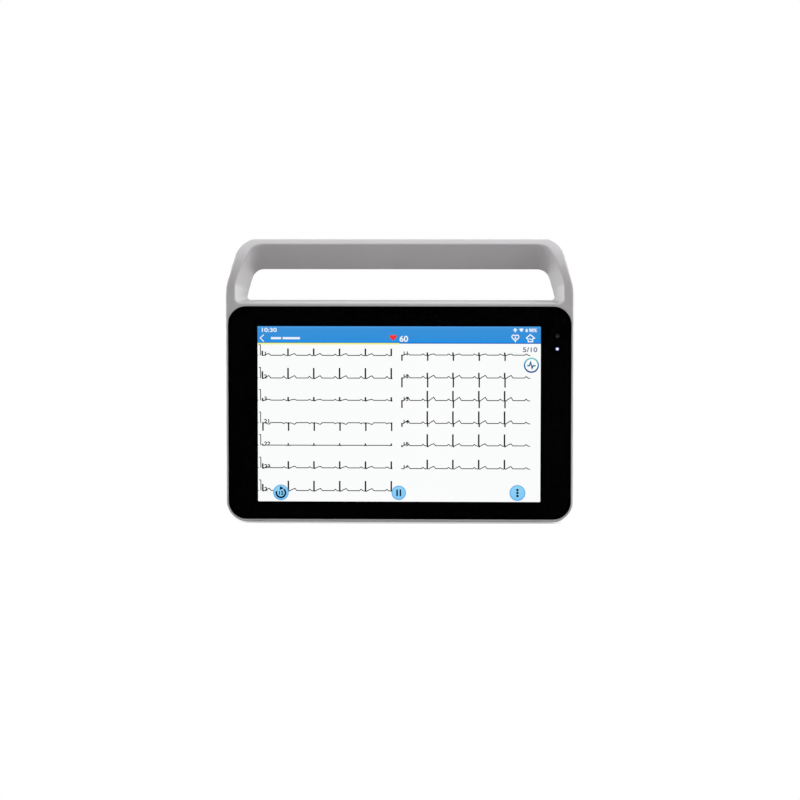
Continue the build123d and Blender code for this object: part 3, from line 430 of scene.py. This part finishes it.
def trace(bm, span, lead, beats, first_up):
    """One lead: its wavy baseline, and a bar for each spike; first_up scales the first spike."""
    start, end = span
    baseline, up, down, after, before = lead
    line, across = [], start
    while across <= end:
        line.append((across, baseline - sum(beat(across - b, after, before) for b in beats)))
        across += TRACE_STEP
    ribbon(bm, line, TRACE_WIDTH, TRACE_LAYER)
    for place_at in beats:
        if place_at > end - 0.2:
            continue
        reach = up * first_up if place_at < start + 1.5 else up
        if abs(reach) > LEAST_UP:
            box(bm, place_at - SPIKE_WIDTH / 2, baseline - reach, place_at + SPIKE_WIDTH / 2,
                baseline + DOWN_SHIFT, TRACE_LAYER)
        if down > LEAST_DOWN:
            box(bm, place_at + DOWN_SHIFT - SPIKE_WIDTH / 2.2, baseline - DOWN_SHIFT,
                place_at + DOWN_SHIFT + SPIKE_WIDTH / 2.2, baseline + down, TRACE_LAYER)


def draw_traces(bm):
    for words, lead in zip(LEFT_LABELS, LEFT_LEADS):
        trace(bm, LEFT_SPAN, lead, LEFT_BEATS, FIRST_LEFT_SPIKE)
        base = lead[0]
        ribbon(bm, ((1.2, base - 10.7), (2.85, base - 10.4), (2.85, base + 0.2)), TRACE_WIDTH,
               TRACE_LAYER)
        ribbon(bm, ((0.0, base), (0.7, base)), 0.8, TRACE_LAYER)
        numerals(bm, words, 6.3, base + 0.3, **LABEL)
    for index, lead in enumerate(RIGHT_LEADS):
        trace(bm, RIGHT_SPAN, lead, RIGHT_BEATS, FIRST_RIGHT_SPIKE)
        numerals(bm, f"{index + FIRST_RIGHT_LABEL}", 145.3, lead[0] + 0.3, **LABEL)


# ---- signs on the screen ----
def draw_bar_marks(bm):
    """Clock, back arrow, two plain bars, heart rate, signal and charge signs, heart and house."""
    numerals(bm, "10:30", 3.0, 5.6, 5.6, SIGN_LAYER, 1.32, 0.12)
    ribbon(bm, ((6.3, 8.4), (2.7, 11.8), (6.3, 15.2)), 0.95, SIGN_LAYER)
    for left, right in ((13.4, 23.6), (25.2, 42.6)):
        box(bm, left, 10.8, right, 13.0, SIGN_LAYER)
    numerals(bm, "60", 142.1, 15.2, 8.2, SIGN_LAYER, 1.08, 0.16)
    ribbon(bm, ((256.0, 3.9), (257.9, 2.0), (259.8, 3.9)), 0.9, SIGN_LAYER)
    box(bm, 257.2, 3.2, 258.6, 5.6, SIGN_LAYER)
    face(bm, [(264.1, 5.6), *arc((264.1, 5.6), 3.8, 232, 308, 8)], SIGN_LAYER)
    box(bm, 268.3, 2.8, 270.3, 5.4, SIGN_LAYER)
    box(bm, 268.9, 2.0, 269.7, 2.9, SIGN_LAYER)
    numerals(bm, "98%", 271.5, 5.4, 4.9, SIGN_LAYER, 0.98, 0.1)
    outline = heart((258.1, 11.6), 3.75)
    ribbon(bm, outline + outline[:1], 1.0, SIGN_LAYER)
    disc(bm, (258.1, 11.7), 1.0, SIGN_LAYER, 14)
    ribbon(bm, ((268.9, 11.5), (273.1, 8.0), (277.2, 11.5), (275.4, 12.3), (275.2, 15.1),
                (271.0, 15.1), (270.7, 12.3), (268.9, 11.5)), 1.05, SIGN_LAYER)
    ribbon(bm, ((272.1, 11.7), (273.1, 12.7), (274.6, 13.0)), 0.9, SIGN_LAYER)


# across, down, radius: lead count, pause, more
BUTTONS = ((23.0, 166.5, 7.9), (141.5, 166.6, 7.3), (260.6, 166.4, 8.0))
BADGE = (274.2, 38.5)


def draw_buttons(bm):
    for x, y, radius in BUTTONS:
        disc(bm, (x, y), radius, SIGN_LAYER)


def draw_button_rims(bm):
    for x, y, radius in BUTTONS:
        ring(bm, (x, y), radius - 0.5, 1.0, RIM_LAYER)


def draw_button_marks(bm):
    (count_x, count_y), (pause_x, pause_y), (more_x, more_y) = (button[:2] for button in BUTTONS)
    ribbon(bm, arc((count_x, count_y + 0.4), 4.6, -52, 200), 1.75, MARK_LAYER)
    face(bm, ((count_x - 0.9, count_y - 6.3), (count_x + 3.1, count_y - 4.2),
              (count_x - 1.3, count_y - 2.3)), MARK_LAYER)
    numerals(bm, "12", count_x - 2.9, count_y + 2.2, 5.0, MARK_LAYER, 1.1, 0.2)
    box(bm, pause_x - 2.45, pause_y - 3.3, pause_x - 0.85, pause_y + 3.3, MARK_LAYER)
    box(bm, pause_x + 0.85, pause_y - 3.3, pause_x + 2.45, pause_y + 3.3, MARK_LAYER)
    for step in (-1, 0, 1):
        disc(bm, (more_x, more_y + 3.0 * step), 1.25, MARK_LAYER, 16)


def draw_badge_ring(bm):
    ring(bm, BADGE, 6.9, 1.5, SIGN_LAYER)


def draw_badge_mark(bm):
    x, y = BADGE
    ribbon(bm, ((x - 4.2, y + 0.5), (x - 2.1, y + 0.5), (x - 0.8, y - 2.9), (x + 0.7, y + 2.9),
                (x + 1.9, y + 0.5), (x + 4.2, y + 0.5)), 1.35, SIGN_LAYER)


# how far down the blue bar and its yellow rule reach, in grid units; gradients in metres
BAR_FOOT, RULE_HEAD, RULE_FOOT, RULE_END = 17.2, 16.2, 18.5, 142.2
ALL_ACROSS = (-0.11, 0.11)
BAR_SPAN = (SCREEN_TOP - BAR_FOOT * ROW, SCREEN_TOP)
RULE_SPAN = (SCREEN_TOP - RULE_FOOT * ROW, SCREEN_TOP - RULE_HEAD * ROW)
BUTTON_SPAN = (0.015, 0.030)

# piece name: how it is drawn, its colours from low to high, their axis and span
ink = {
    "screen_paper": (lambda bm: box(bm, 0, 0, *GRID, PAPER_LAYER),
                     lit("paper", [(0, (0.985, 0.985, 0.988)), (0.6, (0.995, 0.995, 0.99)),
                                   (1, (0.985, 0.985, 0.985))], "X", ALL_ACROSS)),
    "screen_bar": (lambda bm: box(bm, 0, 0, GRID[0], BAR_FOOT, BAR_LAYER),
                   lit("bar", [(0, (0.010, 0.12, 0.42)), (0.05, (0.012, 0.15, 0.50)),
                               (0.08, (0.020, 0.29, 0.84)), (0.16, (0.020, 0.29, 0.82)),
                               (0.24, (0.034, 0.28, 0.71)), (0.85, (0.045, 0.29, 0.71)),
                               (0.93, (0.066, 0.33, 0.76)), (1, (0.072, 0.34, 0.78))],
                       "Z", BAR_SPAN)),
    "screen_rule": (lambda bm: box(bm, 0, RULE_HEAD, RULE_END, RULE_FOOT, TRACE_LAYER),
                    lit("rule", [(0, (0.96, 0.96, 0.72)), (0.45, (0.94, 0.95, 0.36)),
                                 (0.78, (0.88, 0.90, 0.26)), (0.86, (0.10, 0.24, 0.10)),
                                 (1, (0.03, 0.17, 0.22))], "Z", RULE_SPAN)),
    "screen_traces": (draw_traces,
                      lit("traces", [(0, (0.006, 0.006, 0.009)), (1, (0.010, 0.010, 0.013))],
                          "X", ALL_ACROSS)),
    "screen_marks": (draw_bar_marks,
                     lit("marks", [(0, (0.85, 0.91, 0.98)), (1, (0.95, 0.97, 1.0))],
                         "X", ALL_ACROSS)),
    "screen_heart": (lambda bm: face(bm, heart((135.9, 11.5), 3.75), SIGN_LAYER),
                     lit("heart", [(0, (0.82, 0.02, 0.02)), (1, (1.0, 0.07, 0.05))],
                         "Z", BAR_SPAN)),
    "screen_buttons": (draw_buttons,
                       lit("buttons", [(0, (0.20, 0.56, 0.93)), (1, (0.30, 0.67, 0.97))],
                           "Z", BUTTON_SPAN)),
    "screen_button_rims": (draw_button_rims,
                           lit("button_rims", [(0, (0.10, 0.38, 0.74)), (1, (0.16, 0.47, 0.82))],
                               "Z", BUTTON_SPAN)),
    "screen_button_marks": (draw_button_marks,
                            lit("button_marks", [(0, (0.002, 0.008, 0.02)),
                                                 (1, (0.003, 0.012, 0.03))],
                                "Z", BUTTON_SPAN)),
    "screen_badge_ring": (draw_badge_ring,
                          lit("badge_ring", [(0, (0.01, 0.05, 0.22)), (0.5, (0.03, 0.22, 0.50)),
                                             (1, (0.16, 0.62, 0.60))], "Z", (0.117, 0.127))),
    "screen_badge_mark": (draw_badge_mark,
                          lit("badge_mark", [(0, (0.004, 0.12, 0.26)), (1, (0.004, 0.16, 0.32))],
                              "Z", (0.116, 0.128))),
    "screen_page": (lambda bm: numerals(bm, "5/10", 265.3, 25.3, 6.7, TRACE_LAYER, 1.25,
                                         0.1),
                    lit("page", [(0, (0.07, 0.10, 0.20)), (1, (0.09, 0.13, 0.25))],
                        "X", (0.09, 0.11))),
}
for name, (build, material) in ink.items():
    piece(name, build, material)


# ---- status light glowing in its hole ----
LIGHT_RADIUS = 0.00118
LIGHT_PROUD = 0.00002
LIGHT_CENTRE = Vector((0.1206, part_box("light_pipe")[0].y - LIGHT_PROUD, 0.1344))


def draw_glow(bm):
    hub = bm.verts.new(LIGHT_CENTRE)
    edge = [bm.verts.new(LIGHT_CENTRE + Vector((across, 0, up)))
            for across, up in arc((0, 0), LIGHT_RADIUS, 0, 360, 32)[:-1]]
    for a, b in zip(edge, edge[1:] + edge[:1]):
        add_face(bm, (hub, a, b), FORWARD)


piece("status_glow", draw_glow,
      lit("status_glow", [(0, (1.0, 1.0, 1.0)), (0.5, (0.92, 0.90, 1.0)),
                          (1, (0.12, 0.10, 0.62))], strength=1.3,
          radial=(LIGHT_CENTRE, LIGHT_RADIUS)))


# ---- power sign on the button ----
SIGN_PROUD = 0.00003
SIGN_HEIGHT = 0.112
SIGN_RADIUS = 0.0017
SIGN_STROKE = 0.00038


def draw_power(bm):
    low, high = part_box("power_button")
    face_x = high.x + SIGN_PROUD
    middle = (low.y + high.y) / 2
    circle = [(middle + y, SIGN_HEIGHT + z) for y, z in arc((0, 0), SIGN_RADIUS, 125, 415, 28)]
    bar = [(middle, SIGN_HEIGHT + 0.0004), (middle, SIGN_HEIGHT + 0.0025)]
    for line in (circle, bar):
        for (y0, z0), (y1, z1) in zip(line, line[1:]):
            along = Vector((y1 - y0, z1 - z0)).normalized()
            side = Vector((-along.y, along.x)) * SIGN_STROKE / 2
            corners = [bm.verts.new((face_x, y, z))
                       for y, z in ((y0 + side.x, z0 + side.y), (y1 + side.x, z1 + side.y),
                                    (y1 - side.x, z1 - side.y), (y0 - side.x, z0 - side.y))]
            add_face(bm, corners, RIGHTWARD)


power = piece("power_sign", draw_power, moulded("power_sign", (0.62, 0.64, 0.66), 0.4))
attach(power, "power_button")


# ---- floor, light and camera ----
def shown_white(tree):
    """1 for camera, glossy and transmission rays, which see the white studio; 0 for the rest."""
    path = tree.nodes.new("ShaderNodeLightPath")
    seen = path.outputs["Is Camera Ray"]
    for name in ("Is Glossy Ray", "Is Transmission Ray"):
        seen = math_node(tree, "MAXIMUM", seen, path.outputs[name]).outputs[0]
    return seen


FLOOR_LIFT = 0.6
FLOOR_DROP = 0.0003
FLOOR_RADIUS = 30.0
SHADOW_SQUASH = (0.5, 1.0, 1.0)
SHADOW_FADES, SHADOW_ENDS = 0.062, 0.105


def floor_material():
    """Pale matt floor that keeps the shadow near the part and runs into plain white further off."""
    material, tree, output = new_material("floor")
    tone = ramp(tree, noise(tree, 3.0), [(0, (0.62, 0.62, 0.62)), (1, (0.66, 0.66, 0.66))])
    matte = node(tree, "ShaderNodeBsdfDiffuse", Color=tone)
    lift = node(tree, "ShaderNodeEmission", Strength=FLOOR_LIFT)
    white = node(tree, "ShaderNodeEmission", Strength=1.0)
    near = tree.nodes.new("ShaderNodeAddShader")
    tree.links.new(matte.outputs[0], near.inputs[0])
    tree.links.new(lift.outputs[0], near.inputs[1])
    where = tree.nodes.new("ShaderNodeTexCoord")
    oval = node(tree, "ShaderNodeVectorMath", Vector=where.outputs["Object"])
    oval.operation = "MULTIPLY"
    oval.inputs[1].default_value = SHADOW_SQUASH
    reach = node(tree, "ShaderNodeVectorMath", Vector=oval.outputs["Vector"])
    reach.operation = "LENGTH"
    far = node(tree, "ShaderNodeMapRange", Value=reach.outputs["Value"])
    far.interpolation_type = "SMOOTHSTEP"
    far.inputs["From Min"].default_value = SHADOW_FADES
    far.inputs["From Max"].default_value = SHADOW_ENDS
    shown = blend(tree, far.outputs["Result"], near, white)
    tree.links.new(blend(tree, shown_white(tree), matte, shown).outputs[0],
                   output.inputs["Surface"])
    return material


floor_mesh = bpy.data.meshes.new("floor")
floor_bm = bmesh.new()
bmesh.ops.create_circle(floor_bm, cap_ends=True, radius=FLOOR_RADIUS, segments=64)
floor_bm.to_mesh(floor_mesh)
floor_bm.free()
floor_mesh.materials.append(floor_material())
floor = bpy.data.objects.new("floor", floor_mesh)
floor.location.z = -FLOOR_DROP
collection.objects.link(floor)

# the studio is dark in front of the screen and lighter towards the back
STUDIO = [(0.0, (0.0, 0.0, 0.0)), (0.5, (0.42, 0.41, 0.39)), (1.0, (0.61, 0.61, 0.61))]

world = bpy.data.worlds.new("studio")
bpy.context.scene.world = world
world.use_nodes = True
tree = world.node_tree
tree.nodes.clear()
surface = tree.nodes.new("ShaderNodeOutputWorld")
where = tree.nodes.new("ShaderNodeTexCoord")
parts = node(tree, "ShaderNodeSeparateXYZ", Vector=where.outputs["Generated"])
turn = node(tree, "ShaderNodeMapRange", Value=parts.outputs["Y"])
turn.inputs["From Min"].default_value = -1.0
fill = node(tree, "ShaderNodeBackground", Color=ramp(tree, turn.outputs["Result"], STUDIO),
            Strength=1.0)
white = node(tree, "ShaderNodeBackground", Color=(1, 1, 1, 1), Strength=1.0)
tree.links.new(blend(tree, shown_white(tree), fill, white).outputs[0], surface.inputs["Surface"])

COOL, PLAIN = (0.985, 0.975, 1.04), (1, 1, 1)
# name, where it stands, where it aims, its width and height, its watts, its colour
LAMPS = (
    ("key", (0.75, -0.55, 1.3), (0, 0, 0.15), (0.6, 0.6), 7.6, COOL),
    ("top", (0, 0, 1.6), (0, 0, 0.1), (1.6, 0.9), 8.0, COOL),
    ("top_right", (1.0, 0, 1.3), (0, 0, 0.15), (0.6, 0.6), 3.0, COOL),
    ("left", (-1.4, -0.22, 0.72), (0, 0, 0.17), (0.4, 0.6), 9, COOL),
    ("right", (1.4, -0.22, 0.72), (0, 0, 0.17), (0.4, 0.6), 5.2, COOL),
    ("rear_right", (1.1, 0.9, 0.35), (0, 0, 0.17), (0.6, 0.6), 8.5, PLAIN),
    ("rear_left", (-1.1, 0.9, 0.35), (0, 0, 0.17), (0.6, 0.6), 8.5, PLAIN),
)
for name, stands, aim, size, watts, colour in LAMPS:
    light = bpy.data.lights.new(name, "AREA")
    light.shape = "RECTANGLE"
    light.size, light.size_y = size
    light.energy = watts
    light.color = colour
    lamp = bpy.data.objects.new(name, light)
    collection.objects.link(lamp)
    lamp.location = stands
    lamp.rotation_euler = (Vector(aim) - Vector(stands)).to_track_quat("-Z", "Y").to_euler()

bpy.context.scene.view_settings.view_transform = "Standard"

# the camera circles a point on the unit's front plane
FRONT_PLANE, TARGET_HEIGHT = -0.026, 0.0952
DISTANCE, PITCH, TURN = 2.3, math.radians(4.5), math.radians(1.6)
SENSOR_WIDTH, LENS, SHIFT = 36, 135.2, 0.0007

camera_data = bpy.data.cameras.new("camera")
camera_data.sensor_width = SENSOR_WIDTH
camera_data.lens = LENS
camera_data.shift_x = SHIFT
camera_data.clip_end = 100
camera = bpy.data.objects.new("camera", camera_data)
collection.objects.link(camera)
camera.location = (DISTANCE * math.cos(PITCH) * math.sin(TURN),
                   FRONT_PLANE - DISTANCE * math.cos(PITCH) * math.cos(TURN),
                   TARGET_HEIGHT + DISTANCE * math.sin(PITCH))
camera.rotation_euler = (math.pi / 2 - PITCH, 0, TURN)
bpy.context.scene.camera = camera
